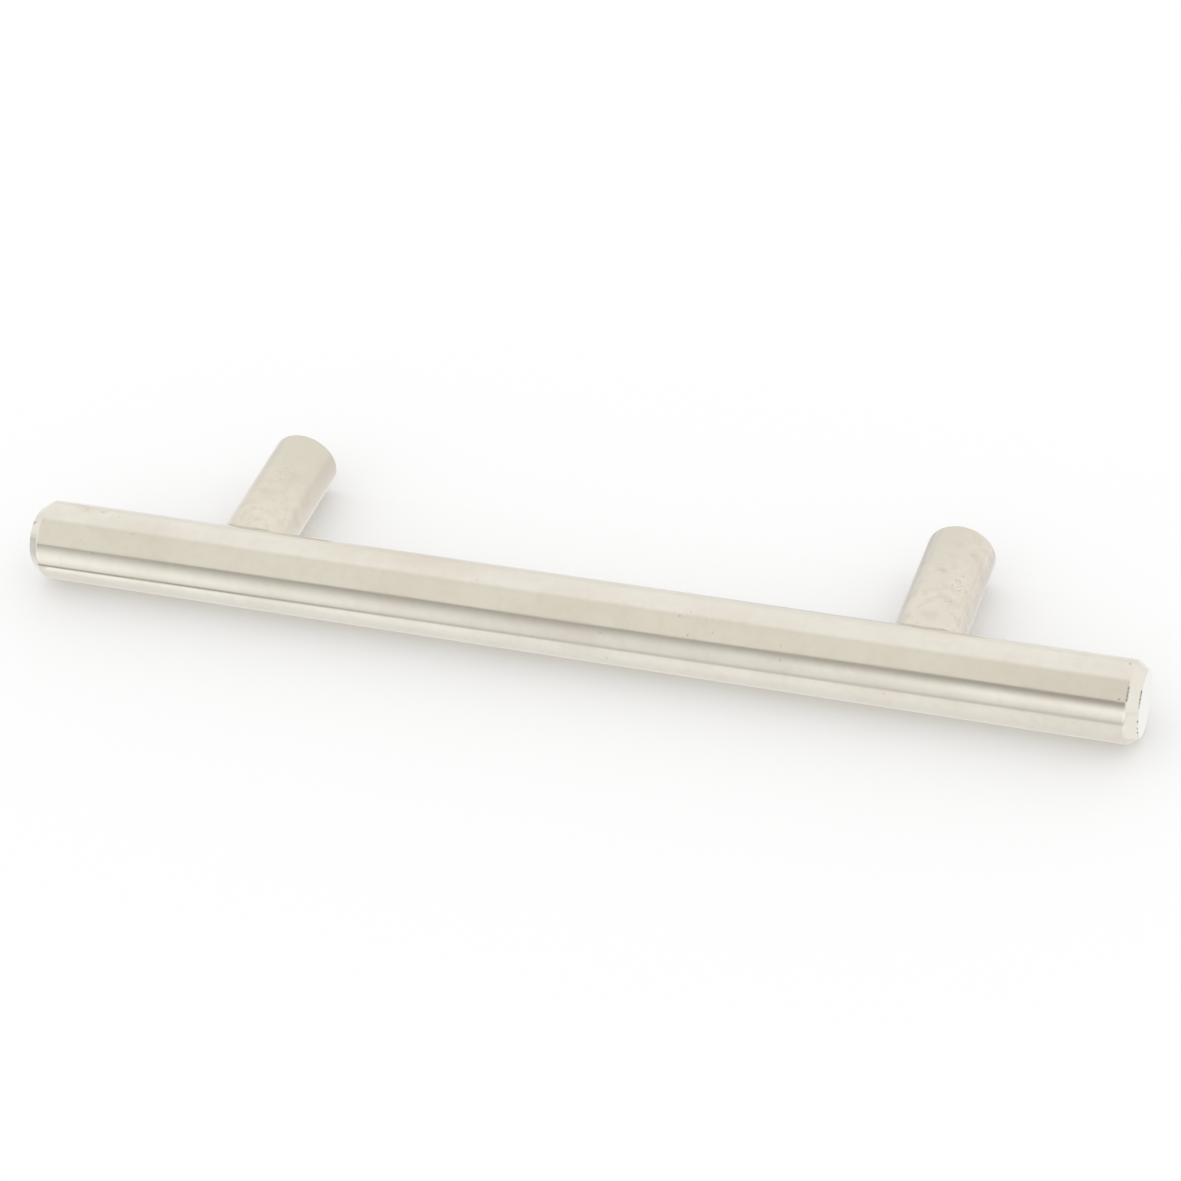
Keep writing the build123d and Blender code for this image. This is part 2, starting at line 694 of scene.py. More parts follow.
def bar_finish() -> BuffedNickel:
    """The bar's plate, with the stains and knocks that the photograph shows.

    Returns:
        The finish.
    """
    # Painted highlights: bright patches on the rims and the right chamfer, where the eased edges catch
    # light.
    painted_rim_highlights = (
        Mark((76.35, -29.7, 1.2), (0.3, 3.6, 3.9), 0.85),
        Mark((-76.35, -29.8, 1.2), (0.3, 2.2, 2.2), 0.3),
        Mark((77.25, BAR_AXIS_Y, 0), (0.95, EVERYWHERE, EVERYWHERE), 0.2, solid=0.5),
    )
    # The end faces' paler tone is partly a painted reflection of the bright light they face.
    faces = tuple(Mark((x, BAR_AXIS_Y, 0), (0.14, EVERYWHERE, EVERYWHERE), 0.85) for x in (-78, 78))
    handled = (
        Mark((-22, -23.5, 5), (25, 3.2, 4), 0.6),
        Mark((-22, -22.0, 4.9), (14, 1.5, 1.6), 0.75),
        Mark((-71, -22.7, 5.2), (6, 1.6, 1.5), 0.6),
        Mark((-62, -25.5, 5), (12, 2.5, 3), 0.3),
        Mark((64, -27.5, 4.5), (16, 2.5, 3), 0.1),
    )
    knocks = (
        *(
            rim_knock(78, 4.45, turn, 0.45, strength)
            for turn, strength in ((60, 0.9), (54, 0.9), (48, 0.8), (42, 0.7), (36, 0.4))
        ),
        *(
            rim_knock(78, 4.45, turn, 0.26, strength)
            for turn, strength in ((10, 0.8), (-5, 0.7), (-16, 1.0), (-29, 0.5))
        ),
        *(rim_knock(76.45, 5.5, turn, 0.5, 0.6) for turn in (59, 54, 49, 44)),
        rim_knock(-78, 4.45, 66, 0.5, 0.9),
        rim_knock(-77.7, 4.7, 66, 0.4, 0.8),
        Mark((75.8, -23.4, 5.4), (0.28, 0.42, 0.3), 0.45),
        Mark((75.5, -28.55, 3.74), (0.26, 0.3, 0.3), 0.42),
        Mark((31.2, -29.4, 2.5), (0.22, 0.22, 0.22), 0.25),
        Mark((21.8, -28.0, 4.2), (0.24, 0.22, 0.22), 0.3),
        Mark((20.6, -26.7, 5.1), (0.2, 0.2, 0.2), 0.2),
        Mark((18.5, -28.6, 3.7), (0.24, 0.22, 0.22), 0.3),
        Mark((16.9, -26.7, 5.1), (0.32, 0.28, 0.25), 0.32),
        Mark((-11.8, -25.9, 5.3), (0.25, 0.22, 0.22), 0.2),
        Mark((-62.3, -26.6, 5.1), (0.9, 0.25, 0.3), 0.08),
        Mark((-68.2, -23.4, 5.4), (0.55, 0.5, 0.3), 0.2),
        Mark((-70.8, -23.2, 5.3), (0.35, 0.4, 0.3), 0.2),
        Mark((-76.1, -26.5, 5.1), (0.3, 0.35, 0.3), 0.1),
    )
    return BuffedNickel(
        name="buffed_nickel_bar",
        axis=(0, BAR_AXIS_Y, 0),
        across=(0, 1, 1),
        plate="#E9E4D9",
        stain="#DACFBE",
        layers=(
            Layer("#DCD0BF", handled, wander=2.5),
            Layer(HIGHLIGHT_AND_SPECK_TONE, painted_rim_highlights),
            Layer(FACE_TONE_AND_SHEEN, faces),
            Layer(OXIDE, knocks, wander=0.12, dulling=0.2, hollow=0.03),
        ),
    )


def post_finish(side: Side) -> BuffedNickel:
    """A post's plate, painted darker towards the foot as shade and clean near the bar, as the
    photograph shows it.

    The joint is a line of painted shade where the post enters the bar, stronger to the right.

    Args:
        side: which post.

    Returns:
        The finish.
    """
    x = side.value
    foot_rim = (Mark((x, 0.1, 0), (EVERYWHERE, 0.6, EVERYWHERE), 0.18),)
    # Painted shade: a dark line round the post where it meets the bar, stronger on the right.
    painted_joint_shade = (
        Mark((x, BAR_AXIS_Y, 0), (EVERYWHERE, 5.82, 5.82), 0.26, solid=0.955),
        Mark((x + 4.5, BAR_AXIS_Y, 0), (14, 5.82, 5.82), 0.42, solid=0.955),
    )
    # The foot mark with its tone is painted shade: the post darker towards its foot, on the right post
    # set by the angle round it.
    if side is Side.LEFT:
        plate, stain, foot_shade = "#E7DFD2", "#D2C7B2", "#DAD3C5"
        foot = Mark((x, 0, 0), (EVERYWHERE, 21, EVERYWHERE))
        # Stains, and in the first two marks a long strip of painted shade down the right side of the
        # post.
        stains_and_side_shade = (
            Mark((x + 4.4, -12, 1.2), (2.2, 7, 2.0), 0.06),
            Mark((x + 4.2, -4, 1.8), (2.0, 4, 2.0), 0.06),
            Mark((x + 1.8, -8.5, 4.3), (2.6, 2.0, 1.8), 0.12),
            Mark((x + 0.3, -13.5, 4.6), (2.0, 2.2, 1.8), 0.12),
            Mark((x - 2.5, -4, 4), (2.0, 2.5, 2.0), 0.1),
        )
        knocks = (
            Mark((x + 2.2, -12.5, 4.1), (0.7, 0.6, 0.5), 0.06),
            Mark((x + 1.0, -10.2, 4.6), (0.6, 0.5, 0.4), 0.05),
        )
        pitted = (Mark((x + 3.3, -9.0, 3.3), (1.2, 1.6, 1.2), 0.3),)
        specks = (Mark((x + 1.0, -8.0, 4.5), (3.0, 5.0, 2.0), 0.2),)
    else:
        plate, stain, foot_shade = "#E7E0D5", "#D3C8B7", "#D9D2C5"
        foot = Mark((x - 2.5, 0, 0), (9.5, 21, EVERYWHERE))
        # Stains, and in the fifth mark a long strip of painted shade down the right side of the post.
        stains_and_side_shade = (
            Mark((x - 0.1, -9.6, 4.7), (1.2, 0.9, 1.0), 0.3),
            Mark((x + 2.8, -4.8, 3.8), (1.3, 0.9, 1.0), 0.28),
            Mark((x + 0.8, -4.2, 4.6), (1.2, 1.1, 1.0), 0.14),
            Mark((x - 3.3, -7.2, 3.3), (0.9, 0.9, 0.8), 0.22),
            Mark((x + 3.9, -9, 2.4), (1.3, 6, 1.5), 0.05),
            Mark((x + 2.2, -15.2, 4.1), (2.0, 1.0, 1.2), 0.12),
        )
        knocks = (
            Mark((x + 4.62, -3.1, 0.8), (0.35, 0.4, 0.7), 0.25),
            Mark((x - 0.1, -9.6, 4.7), (0.5, 0.4, 0.3), 0.05),
            Mark((x + 2.8, -4.8, 3.8), (0.5, 0.4, 0.3), 0.06),
            Mark((x + 4.0, -17.6, 2.4), (0.35, 0.3, 0.3), 0.15),
        )
        pitted = (
            Mark((x + 2.7, -11.0, 3.85), (2.4, 2.9, 2.1), 0.36),
            Mark((x + 3.1, -8.9, 3.5), (0.9, 1.0, 0.9), 0.22),
            Mark((x + 2.2, -15.0, 4.15), (2.0, 2.2, 1.2), 0.2),
        )
        specks = (Mark((x + 2.6, -11.0, 3.9), (2.6, 3.2, 2.2), 0.5),)
    return BuffedNickel(
        name=f"buffed_nickel_{side.label}_post",
        axis=(x, 0, 0),
        across=(1, 0, 1),
        plate=plate,
        stain=stain,
        bore_radius=2.32,
        cloud_amount=0.3,
        mottle_amount=0.45,
        layers=(
            # Painted shade, darker towards the foot.
            Layer(foot_shade, (foot,), wander=1.5),
            # Stains, with painted shade down the right side.
            Layer("#B4A996", stains_and_side_shade, wander=0.7),
            Layer("#8A7C6C", foot_rim),
            Layer(OXIDE, knocks, wander=0.15, dulling=0.1, hollow=0.01),
            Layer(HIGHLIGHT_AND_SPECK_TONE, specks, wander=0.3, speckle=0.62),
            Layer("#8D8172", pitted, wander=0.3, dulling=0.05, hollow=0.012, speckle=0.5),
            # Painted shade where the post meets the bar.
            Layer("#5F594F", painted_joint_shade, dulling=0.2),
        ),
    )


@dataclass(frozen=True)
class CutSteel:
    """Plain alloy steel with a cut thread, as a joining stud comes from its box."""

    name: str = "alloy_steel_cut_thread"
    steel: str = "#ADADAD"
    roughness: float = 0.32

    def material(self) -> bpy.types.Material:
        """Makes the steel.

        Returns:
            The material.
        """
        made = blank_material(self.name)
        tree = made.node_tree
        place = add_node(tree, "ShaderNodeTexCoord")
        grain = add_node(
            tree,
            "ShaderNodeTexNoise",
            {"Vector": place.outputs["Object"], "Scale": 1 / (0.3 * MM), "Detail": 3.0},
        )
        gloss = add_node(
            tree,
            "ShaderNodeMapRange",
            {0: grain.outputs[0], 1: 0.3, 2: 0.7, 3: self.roughness - 0.05, 4: self.roughness + 0.08},
        )
        shader = add_node(
            tree,
            "ShaderNodeBsdfPrincipled",
            {"Base Color": linear(self.steel), "Metallic": 1.0, "Roughness": gloss.outputs[0]},
        )
        add_node(tree, "ShaderNodeOutputMaterial", {0: shader.outputs[0]})
        return made


@dataclass
class Bar:
    """The round bar, with chamfered ends and a socket in its back for each post."""

    length: float = 156.0
    radius: float = BAR_RADIUS
    chamfer_length: float = 1.6
    chamfer_depth: float = 1.1
    rim_ease: float = 0.45  # where each chamfer meets the round, rubbed wider by handling
    face_ease: float = 0.15  # where it meets the end's flat face
    socket_radius: float = 4.73
    mouth_break: float = 0.08  # taken off the socket's sharp mouth
    patch_half_length: float = 8.0  # of the patch round a socket, along the bar
    patch_columns: int = 32  # each side of the socket's middle, of the bar's columns
    patch_rows: int = 40
    stance: Stance = Stance((0, BAR_AXIS_Y, 0), (1, 0, 0), (0, 1, 0), (0, 0, 1))
    stud_hole: TappedHole = TappedHole(STUD_THREAD, depth=4.5)

    def skin(self, along: np.ndarray, angle: np.ndarray) -> Grid:
        """Makes a part of the plain round of the bar.

        Args:
            along: the X of each row, or of each point.
            angle: the angle of each column, or of each point.

        Returns:
            The surface, without the join of its last column to its first.
        """
        points = self.stance.place(along, self.radius, angle)
        return Grid(points, self.stance.aim(0 * along, 1.0, angle), wraps=False)

    def ends(self) -> list[Grid]:
        """Makes the bar's two ends and the plain lengths between the patches.

        Returns:
            The surfaces.
        """
        end, patch = self.length / 2, self.patch_half_length
        face = self.radius - self.chamfer_depth
        inner, outer = Side.RIGHT.value - patch, Side.RIGHT.value + patch
        right = eased_outline(
            [(outer, self.radius), (end - self.chamfer_length, self.radius), (end, face), (end, 0)],
            [self.rim_ease, self.face_ease],
        )
        mirror = np.array([-1, 1])
        left = (right[0][::-1] * mirror, right[1][::-1] * mirror)
        rows = np.linspace(-inner, inner, 81)
        middle = (
            np.stack((rows, np.full_like(rows, self.radius)), axis=1),
            np.tile([0.0, 1.0], (len(rows), 1)),
        )
        return [self.stance.turned(outline, ROUND) for outline in (left, right, middle)]

    def round_patch(self, x: float) -> Grid:
        """Makes the plain round of the bar beside a socket's patch, the long way round.

        Args:
            x: the X of the socket's axis.

        Returns:
            The surface.
        """
        columns = np.arange(self.patch_columns, COLUMNS - self.patch_columns + 1)
        along = x + np.linspace(-1, 1, self.patch_rows + 1) * self.patch_half_length
        angle, along = np.meshgrid(columns * TURN / COLUMNS, along)
        return self.skin(along, angle)

    def socket(self, x: float) -> list[Grid]:
        """Makes the patch of the bar round a socket, and the socket.

        The patch is worked out on the unrolled bar, in X and angle. Its outer edge runs round a
        rectangle on the bar's own columns, and its inner one along the socket's mouth, where the
        angle is the arc sine of the height over the bar's radius. Each point between lies on the
        straight line from one to the other. Both ends of a line lie in the same direction from
        the socket's middle.

        Args:
            x: the X of the socket's axis.

        Returns:
            The surfaces.
        """
        # One corner of the rectangle to the next, along the bar and then round it, twice.
        half_angle = self.patch_columns * TURN / COLUMNS
        across = np.linspace(-1, 1, self.patch_rows + 1)[:-1] * self.patch_half_length
        round_it = np.arange(-self.patch_columns, self.patch_columns) * TURN / COLUMNS
        half_x = np.concatenate((across, np.full_like(round_it, self.patch_half_length)))
        half_turn = np.concatenate((np.full_like(across, -half_angle), round_it))
        edge_x, edge_angle = (np.concatenate((half, -half)) for half in (half_x, half_turn))
        wide = self.socket_radius + self.mouth_break
        fine = np.linspace(-np.pi, np.pi, 4001)
        bearing = np.unwrap(
            np.arctan2(wide * np.sin(fine), self.radius * np.arcsin(wide * np.cos(fine) / self.radius))
        )
        wanted = np.arctan2(edge_x, self.radius * edge_angle)
        psi = np.interp(wanted, bearing, fine)
        share = np.linspace(0, 1, 15)[:, None] ** 1.4
        mouth_angle = np.arcsin(wide * np.cos(psi) / self.radius)
        patch_x = x + share * edge_x + (1 - share) * wide * np.sin(psi)
        patch_angle = share * edge_angle + (1 - share) * mouth_angle
        patch = self.skin(patch_x, patch_angle)
        patch.wraps = True

        # The mouth's break is a parabola that leaves the skin and meets the wall as each of them
        # runs on to their sharp corner.
        over = np.linspace(0, 1, 6)[:, None]
        wide_y = BAR_AXIS_Y + self.radius * np.cos(mouth_angle)
        corner_y = BAR_AXIS_Y + np.sqrt(self.radius**2 - (self.socket_radius * np.cos(psi)) ** 2)
        drop = 0.75 * self.mouth_break
        wall_top = corner_y - drop
        radius = self.socket_radius + self.mouth_break * (1 - over) ** 2
        level = (1 - over) ** 2 * wide_y + 2 * over * (1 - over) * corner_y + over**2 * wall_top
        stance = post_stance(x)
        skin_normal = np.stack((np.zeros_like(psi), np.cos(mouth_angle), np.sin(mouth_angle)), axis=-1)
        wall_normal = stance.aim(0.0, -1.0, psi)
        skin_pull = ((1 - over) * np.hypot(self.mouth_break, corner_y - wide_y))[..., None]
        wall_pull = (over * drop * np.ones_like(psi))[..., None]
        rim = Grid(
            stance.place(level, radius, psi), unit(skin_pull * skin_normal + wall_pull * wall_normal)
        )
        fall = np.linspace(0, 1, 3)[:, None]
        wall = stance.even(
            wall_top + fall * (SOCKET_FLOOR_Y - wall_top), self.socket_radius, psi, wall_normal
        )
        inward = np.linspace(self.socket_radius, self.stud_hole.mouth_radius, 3)[:, None]
        floor = stance.even(SOCKET_FLOOR_Y, inward, psi, np.array(stance.along))
        # The hole is made with its columns in the order of their angle, and then put in the mouth's.
        order = np.argsort(psi)
        hole = self.stud_hole.grid(stance, SOCKET_FLOOR_Y, -1, psi[order])
        back = np.argsort(order)
        hole = Grid(hole.points[:, back], hole.normals[:, back])
        return [patch, rim, wall, floor, hole]

    def build(self, finish: BuffedNickel) -> bpy.types.Object:
        """Makes the bar.

        Args:
            finish: its plate.

        Returns:
            The object.
        """
        shell = Shell()
        shell.add(*self.ends())
        for side in Side:
            shell.add(self.round_patch(side.value), *self.socket(side.value))
        made = shell.piece("bar_skin", finish.material())
        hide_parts("bar")
        return self.dress(made)

    def dress(self, made: bpy.types.Object) -> bpy.types.Object:
        """Gives the piece its body."""
        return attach(made, "root")


def post_stance(x: float) -> Stance:
    """The axis of a post at this X, from the door's face: +Y along, angles from +Z towards +X."""
    return Stance((x, 0, 0), (0, 1, 0), (0, 0, 1), (1, 0, 0))


@dataclass
class Post:
    """A round post with a tapped hole in each end."""

    side: Side
    radius: float = 4.7
    foot_chamfer: float = 0.3
    seat_chamfer: float = 0.2
    ease: float = 0.06  # of its edges, by polishing
    screw_hole: TappedHole = TappedHole(SCREW_THREAD, depth=10.0)
    stud_hole: TappedHole = TappedHole(STUD_THREAD, depth=6.5)

    def build(self, finish: BuffedNickel) -> bpy.types.Object:
        """Makes the post.

        Args:
            finish: its plate.

        Returns:
            The object.
        """
        stance = post_stance(self.side.value)
        outline = eased_outline(
            [
                (SOCKET_FLOOR_Y, self.stud_hole.mouth_radius),
                (SOCKET_FLOOR_Y, self.radius - self.seat_chamfer),
                (SOCKET_FLOOR_Y + self.seat_chamfer, self.radius),
                (-self.foot_chamfer, self.radius),
                (0, self.radius - self.foot_chamfer),
                (0, self.screw_hole.mouth_radius),
            ],
            [self.ease] * 4,
        )
        shell = Shell()
        shell.add(
            stance.turned(outline, ROUND),
            self.screw_hole.grid(stance, 0.0, -1, ROUND),
            self.stud_hole.grid(stance, SOCKET_FLOOR_Y, 1, ROUND),
        )
        made = shell.piece(f"{self.side.label}_post_skin", finish.material())
        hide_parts(f"{self.side.label}_post")
        return self.dress(made)

    def dress(self, made: bpy.types.Object) -> bpy.types.Object:
        """Gives the piece its body."""
        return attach(made, "root")


@dataclass
class JoiningStud:
    """A headless screw with a hexagonal socket in the end that goes in the post."""

    side: Side
    length: float = 10.0
    start: float = -26.0
    chamfer: float = 0.5
    clearance: float = 0.04  # all round, to the wall of its hole
    key: float = 2.5  # across the flats
    key_depth: float = 2.5
    key_point: float = 0.5  # depth of the cone under the socket

    def build(self, finish: CutSteel) -> bpy.types.Object:
        """Makes the stud.

        The body's radius is the hole's thread less the clearance, held below a cone at each end.
        The socket's radius is half the width across flats over the cosine of the angle from the
        middle of the nearest flat.

        Args:
            finish: its steel.

        Returns:
            The object.
        """
        stance = post_stance(self.side.value)
        end = self.start + self.length
        along = np.linspace(self.start, end, 151)
        rim = STUD_THREAD.diameter / 2 - self.clearance - self.chamfer
        cone = rim + np.minimum(along - self.start, end - along)
        thread = STUD_THREAD.radius(along[:, None], ROUND[None, :]) - self.clearance
        radius = np.minimum(thread, cone[:, None])
        sector = np.mod(ROUND, TURN / 6) - TURN / 12
        hexagon = self.key / 2 / np.cos(sector)
        up, down = np.array(stance.along), -np.array(stance.along)
        inward = stance.aim(0.0, -1.0, ROUND)
        share = np.linspace(0, 1, 4)[:, None]
        deep = end - self.key_depth
        fall = end - share * self.key_depth
        cone_fall = deep - share * self.key_point
        shell = Shell()
        shell.add(
            stance.shaped(along, radius, ROUND, 1),
            stance.even(self.start, share * radius[0], ROUND, down),
            stance.even(end, radius[-1] + share * (hexagon - radius[-1]), ROUND, up),
            stance.even(fall, hexagon, ROUND, inward, faceted=True),
            stance.even(cone_fall, (1 - share) * hexagon, ROUND, up, faceted=True),
        )
        made = shell.piece(f"{self.side.label}_stud_skin", finish.material())
        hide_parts(f"{self.side.label}_joining_stud")
        return self.dress(made)

    def dress(self, made: bpy.types.Object) -> bpy.types.Object:
        """Gives the piece its body."""
        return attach(made, "root")


@dataclass
class Studio:
    """The white floor and surroundings, the cards that the metal mirrors, and the camera."""

    floor_half: float = 3000.0
    foot_lift: float = 0.8  # the posts are thinner than the bar, so the floor rises to carry them
    roof_radius: float = 400.0
    roof_half_length: float = 400.0
    back_radius: float = 420.0
    back_half_length: float = 1200.0
    front_distance: float = 60.0  # from the bar's skin to the top of the card in front of it
    mirror_view: float = 42.5  # the height angle at which the bar's round has the camera
    azimuth: float = 22.993  # of the camera, in degrees, from -Y towards +X
    elevation: float = 39.444
    roll: float = -6.646
    distance: float = 463.98
    target: tuple[float, float, float] = (3.805, BAR_AXIS_Y, 5.237)
    lens: float = 106.81

    def sheet(
        self,
        name: str,
        points: np.ndarray,
        material: bpy.types.Material,
        glow: np.ndarray | None = None,
    ) -> bpy.types.Object:
        """Makes an object of the studio from a grid of points.

        Args:
            name: the object's name.
            points: rows and columns of points, in millimetres.
            material: its material.
            glow: the colour of the light that each point gives off, where it is a card.

        Returns:
            The object.
        """
        rows, columns = points.shape[:2]
        number = np.arange(rows * columns).reshape(rows, columns)
        quads = np.stack((number[:-1, :-1], number[:-1, 1:], number[1:, 1:], number[1:, :-1]), axis=-1)
        mesh = bpy.data.meshes.new(name)
        mesh.from_pydata((points * MM).reshape(-1, 3).tolist(), [], quads.reshape(-1, 4).tolist())
        mesh.materials.append(material)
        if glow is not None:
            colour = mesh.attributes.new("glow", "FLOAT_COLOR", "POINT")
            whole = np.concatenate((glow, np.ones((rows, columns, 1))), axis=-1)
            colour.data.foreach_set("color", whole.astype(np.float32).ravel())
        made = put_in_scene(name, mesh)
        return made

    def card(self, name: str, points: np.ndarray, glow: np.ndarray) -> bpy.types.Object:
        """Makes a card that only the metal's reflections see.

        Args:
            name: the object's name.
            points: rows and columns of points, in millimetres.
            glow: the light of each point, linear: a level of grey, or a colour.

        Returns:
            The object.
        """
        if glow.ndim == 2:
            glow = np.repeat(glow[..., None], 3, axis=-1)
        made = blank_material(name)
        tree = made.node_tree
        colour = add_node(tree, "ShaderNodeAttribute", attribute_name="glow")
        light = add_node(
            tree, "ShaderNodeEmission", {"Color": colour.outputs["Color"], "Strength": 1.0}
        )
        add_node(tree, "ShaderNodeOutputMaterial", {0: light.outputs[0]})
        made.cycles.emission_sampling = "NONE"
        sheet = self.sheet(name, points, made, glow)
        sheet.visible_camera = sheet.visible_diffuse = sheet.visible_shadow = False
        sheet.visible_transmission = sheet.visible_volume_scatter = False
        return sheet

    def lay_floor(self) -> None:
        """Lays the white floor that the pull rests on.

        It is matt paper, so it shows no reflections. The metal mirrors it a little greyer.
        """
        made = blank_material("white_studio_paper")
        tree = made.node_tree
        path = add_node(tree, "ShaderNodeLightPath")
        direct, mirrored = linear("#FFFFFF"), linear("#F7F7F5")
        seen = add_node(
            tree,
            "ShaderNodeMix",
            {0: path.outputs["Is Glossy Ray"], COLOUR_A: direct, COLOUR_B: mirrored},
            data_type="RGBA",
        )
        shader = add_node(
            tree,
            "ShaderNodeBsdfPrincipled",
            {"Base Color": seen.outputs[COLOUR_OUT], "Roughness": 1.0, "Specular IOR Level": 0.0},
        )
        add_node(tree, "ShaderNodeOutputMaterial", {0: shader.outputs[0]})
        across = np.array([-1.0, 1.0]) * self.floor_half
        away = np.array([-self.floor_half, BAR_AXIS_Y, 0.0, self.floor_half])
        y, x = np.meshgrid(away, across, indexing="ij")
        self.sheet("studio_floor", self.on_floor(x, y, 0.0), made)

    def on_floor(self, x: np.ndarray, y: np.ndarray, above: float) -> np.ndarray:
        """Finds points over the floor, which rises evenly from the bar to the feet of the posts.

        Args:
            x: the X of each point.
            y: the Y of each point.
            above: how far the points lie over the floor.

        Returns:
            The points.
        """
        rise = self.foot_lift * np.clip(1 - y / BAR_AXIS_Y, 0, 1)
        return np.stack(np.broadcast_arrays(x, y, FLOOR_Z + rise + above), axis=-1)

    def hang_roof(self) -> None:
        """Hangs the warm grey card in front of and over the pull.

        It is part of a cylinder round the bar. Its height angle runs from the front horizon past
        straight up, where its edge blends into the white of the surroundings, as its two ends do.
        The card is a little darker on the right and just under its upper edge.
        """
        height = np.linspace(-3, 112, 116)[:, None]
        along = np.linspace(-1, 1, 67)[None, :] * self.roof_half_length
        height, along = np.broadcast_arrays(height, along)
        shade = 1 - 0.06 * smooth((along + 40) / 60) - 0.02 * np.exp(-(((height - 92) / 4) ** 2))
        grey = np.array([0.868, 0.853, 0.805]) * shade[..., None]
        edge = np.maximum(smooth((height - 93) / 13), smooth((abs(along) - 290) / 110))[..., None]
        points = self.around_bar(along, self.roof_radius, height)
        self.card("roof_card", points, grey + (1 - grey) * edge)

    def hang_back(self) -> None:
        """Hangs the pale card behind the pull, part of a cylinder round the bar.

        It fades from white, high up, to light grey near the horizon. How much it fades changes
        along the card, so that it meets the card on the floor without a step in the posts.
        """
        height = np.linspace(134, 187, 54)[:, None]
        along = np.linspace(-1, 1, 61)[None, :] * self.back_half_length
        height, along = np.broadcast_arrays(height, along)
        fade = np.interp(along, (50, 250, 345, 385, 415), (0.09, 0.05, 0.01, 0.05, -0.02))
        start = np.interp(along, (50, 250), (158, 148))
        level = 1 - fade * smooth((height - start) / (181 - start))
        glow = level[..., None] * np.array([1.0, 1.01, 1.0])
        self.card("back_card", self.around_bar(along, self.back_radius, height), glow)

    def around_bar(self, along: np.ndarray, radius: float, height: np.ndarray) -> np.ndarray:
        """Finds points round the bar's axis, from the height angle above the front horizon."""
        front, up = radius * np.cos(np.radians(height)), radius * np.sin(np.radians(height))
        return np.stack((along, BAR_AXIS_Y - front, up), axis=-1)

    def stand_front(self) -> None:
        """Stands the reflector card in front of the bar, curved so that its bands look even.

        A point of the card belongs to a station along the bar and a share of the way up. Its
        height angle, seen from the bar, grows evenly from foot to top. It lies that way from the
        skin of the bar, at a level distance that grows with the square of the share, and is
        shifted to the left in proportion to that distance.

        The card's light climbs from its low level to a peak and falls to its top level as a
        power of the cosine. A dark line runs along its foot. All of these change along the card.
        """
        station = np.linspace(-92, 92, 93)[None, :]
        share = np.linspace(0, 1, 141)[:, None]

        def along(*values: float) -> np.ndarray:
            """Runs a value along the card through its eight named stations."""
            return np.interp(station, (-72, -50, -20, 0, 20, 40, 60, 72), values)

        middle = -32.8 + 0.149 * station - 0.00042 * station**2
        foot = middle - 5.0
        top = along(22.2, 26.2, 29.2, 29.4, 31.7, 35.4, 37.4, 37.5)
        height = foot + (top - foot) * share
        near = (self.seen_from(foot)[1] - FLOOR_Z) / np.tan(np.radians(-foot))
        skin_y, skin_z = self.seen_from(height)
        level = near + (self.front_distance - near) * share**2
        rise = level * np.tan(np.radians(height))
        drift = 0.36 - 0.0026 * station
        points = np.stack((station - drift * level, skin_y - level, skin_z + rise), axis=-1)

        peak_at = along(0.42, 0.40, 0.38, 0.41, 0.48, 0.52, 0.53, 0.54)
        peak = along(1.10, 1.03, 0.93, 0.86, 0.88, 0.95, 1.04, 1.09)
        low = along(0.94, 0.91, 0.87, 0.85, 0.86, 0.86, 0.87, 0.88)
        dark = along(0.46, 0.42, 0.41, 0.41, 0.42, 0.44, 0.39, 0.38)
        power = along(1.0, 1.3, 1.25, 1.05, 1.2, 2.0, 2.2, 2.5)
        drop = along(0.72, 0.62, 0.34, 0.26, 0.24, 0.24, 0.25, 0.25)
        breadth = along(3.4, 3.9, 4.5, 5.0, 5.1, 5.1, 5.4, 5.6)
        fall = np.cos(np.pi / 2 * np.clip((share - peak_at) / (1 - peak_at), 0, 1)) ** power
        climb = low + (peak - low) * smooth((share - 0.15) / (peak_at - 0.15))
        line = drop * np.exp(-(((height - middle) / breadth) ** 2))
        light = (dark + (climb - dark) * fall) * (1 - line)
        strength = np.clip(light, 0, 1)[..., None]
        tint = np.array([1.0, 0.96, 0.88]) + strength * np.array([0.0, 0.05, 0.13])
        self.card("front_card", points, light[..., None] * tint)

    def seen_from(self, height: np.ndarray) -> tuple[np.ndarray, np.ndarray]:
        """Finds where on the bar's skin the camera sees what lies at a height angle.

        The skin's own angle is half of the height angle and the camera's.

        Args:
            height: angles above the front horizon.

        Returns:
            The Y and Z of the skin there.
        """
        skin = np.radians((height + self.mirror_view) / 2)
        return BAR_AXIS_Y - BAR_RADIUS * np.cos(skin), BAR_RADIUS * np.sin(skin)

    def lay_strip(self) -> None:
        """Lays a strip of bright paper under the front of the bar, for the metal to mirror.

        Its light rises in two steps away from the line where the bar rests, more on the left, and
        falls again at its outer edge. Close to that line it is dim and a little warmer.
        """
        station = np.linspace(-130, 110, 61)[None, :]
        away = np.linspace(0.1, 24, 81)[:, None]
        station, away = np.broadcast_arrays(station, away)
        stations = (-72, -50, -20, 0, 20, 40, 72)
        gleam = np.interp(station, stations, (0.25, 0.1, 0.08, 0.01, 0.06, 0.04, 0.02))
        broad = np.interp(station, stations, (0.085, 0.08, 0.085, 0.08, 0.08, 0.07, 0.05))
        level = 0.865 + broad * smooth((away - 3.8) / 4) + gleam * smooth((away - 6.5) / 3)
        level = level - (0.02 + 0.7 * gleam) * smooth((away - 11.5) / 12)
        level = level * (0.8 + 0.2 * smooth(away / 1.8))
        under = 1 - smooth((away - 3.5) / 3)[..., None]
        glow = level[..., None] * (1 - under * np.array([0.0, 0.01, 0.025]))
        self.card("bright_strip", self.on_floor(station, BAR_AXIS_Y - away, 0.02), glow)

